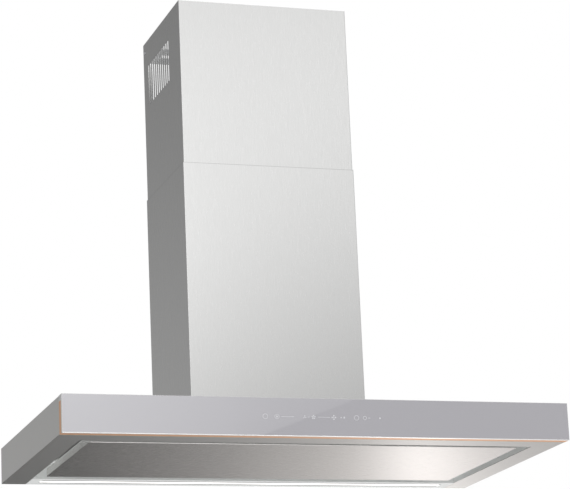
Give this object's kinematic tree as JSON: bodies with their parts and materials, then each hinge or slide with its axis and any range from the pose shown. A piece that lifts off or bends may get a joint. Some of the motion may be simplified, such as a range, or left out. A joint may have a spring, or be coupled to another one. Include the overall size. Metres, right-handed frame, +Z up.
{
  "type": "chimney range hood",
  "caption": "Wall-mounted chimney range hood with a glass touch front, hinged perimeter suction panel, light strip, blower and telescopic flue covers.",
  "frame": {"origin": "on the wall plane, at the middle of the width, level with the underside of the canopy", "axes": "+X right seen from the front, +Y into the wall, +Z up; the glass faces -Y"},
  "size_m": [0.898, 0.5027, 0.8535],
  "materials": {
    "canopy_steel": "fine brushed",
    "galvanised_steel": "zinc",
    "grey_glass": "polished, back-painted grey",
    "rose_gold": "satin rose gold",
    "rail_aluminium": "satin anodised",
    "circuit_board": "solder mask",
    "screw_steel": "zinc",
    "icon_print": "screen print",
    "bar_steel": "satin",
    "frosted_diffuser": "frosted, lit from behind",
    "channel_aluminium": "extruded",
    "led_board_white": "white solder mask",
    "panel_steel": "fine brushed",
    "hinge_steel": "plain",
    "pin_steel": "polished",
    "magnet_black": "moulded",
    "filter_aluminium": "brushed",
    "filter_mesh": "expanded mesh layers",
    "latch_plastic": "moulded",
    "box_plastic": "moulded",
    "driver_plastic": "moulded",
    "gland_nylon": "moulded nylon",
    "ring_plastic": "moulded",
    "motor_paint": "satin black",
    "impeller_plastic": "moulded",
    "flap_plastic": "moulded",
    "flue_steel": "fine brushed"
  },
  "bodies": {
    "hood": {"canopy_shell": "canopy_steel", "wall_plate": "galvanised_steel", "recess_pan": "bar_steel", "front_glass": "grey_glass", "copper_trim": "rose_gold", "trim_top_rail": "rail_aluminium", "glass_carrier": "galvanised_steel", "touch_board": "circuit_board", "carrier_screws": "screw_steel", "touch_icons": "icon_print", "rear_light_bar": "bar_steel", "led_diffuser": "frosted_diffuser", "led_channel": "channel_aluminium", "led_board": "led_board_white", "panel_hinge_brackets": "hinge_steel", "panel_hinge_pins": "pin_steel", "panel_magnets": "magnet_black", "filter_frame_left": "filter_aluminium", "filter_frame_right": "filter_aluminium", "filter_mesh_left": "filter_mesh", "filter_mesh_right": "filter_mesh", "latch_rivets": "filter_aluminium", "filter_rear_rail": "galvanised_steel", "filter_front_rail": "galvanised_steel", "control_box": "box_plastic", "control_box_lid": "box_plastic", "control_board": "circuit_board", "led_driver": "driver_plastic", "cable_gland": "gland_nylon", "blower_box": "galvanised_steel", "blower_box_screws": "screw_steel", "scroll_wall": "galvanised_steel", "scroll_side_left": "galvanised_steel", "scroll_side_right": "galvanised_steel", "inlet_ring_left": "ring_plastic", "inlet_ring_right": "ring_plastic", "outlet_transition": "ring_plastic", "fan_motor": "motor_paint", "motor_bracket": "galvanised_steel", "outlet_collar": "ring_plastic", "damper_pins": "pin_steel", "lower_flue_cover": "flue_steel", "lower_flue_screws": "screw_steel"},
    "panel": {"perimeter_panel": "panel_steel", "panel_hinge_arms": "hinge_steel", "panel_strikers": "hinge_steel"},
    "rotor": {"impeller": "impeller_plastic", "motor_shaft": "pin_steel"},
    "flap_front": {"damper_flap_front": "flap_plastic"},
    "flap_rear": {"damper_flap_rear": "flap_plastic"},
    "latch_left": {"filter_latch_left": "latch_plastic"},
    "latch_right": {"filter_latch_right": "latch_plastic"},
    "upper_chimney": {"upper_flue_cover": "flue_steel", "flue_wall_bracket": "galvanised_steel", "flue_bracket_screws": "screw_steel"}
  },
  "joints": [
    {"name": "flue_slide", "type": "slide", "parent": "hood", "child": "upper_chimney", "axis": [0, 0, 1], "range_m": [-0.25, 0.12]},
    {"name": "panel_hinge", "type": "hinge", "parent": "hood", "child": "panel", "pos_m": [0, -0.092, 0.018], "axis": [1, 0, 0], "range_deg": [0, 80]},
    {"name": "fan_spin", "type": "hinge", "parent": "hood", "child": "rotor", "pos_m": [0, -0.118, 0.185], "axis": [1, 0, 0], "continuous": true},
    {"name": "flap_front_hinge", "type": "hinge", "parent": "hood", "child": "flap_front", "pos_m": [0, -0.086, 0.347], "axis": [-1, 0, 0], "range_deg": [0, 78]},
    {"name": "flap_rear_hinge", "type": "hinge", "parent": "hood", "child": "flap_rear", "pos_m": [0, -0.078, 0.347], "axis": [1, 0, 0], "range_deg": [0, 78]},
    {"name": "latch_left_slide", "type": "slide", "parent": "hood", "child": "latch_left", "axis": [0, 1, 0], "range_m": [0, 0.006], "stiffness_N_per_m": 300, "springref_m": -0.004},
    {"name": "latch_right_slide", "type": "slide", "parent": "hood", "child": "latch_right", "axis": [0, 1, 0], "range_m": [0, 0.006], "stiffness_N_per_m": 300, "springref_m": -0.004}
  ]
}
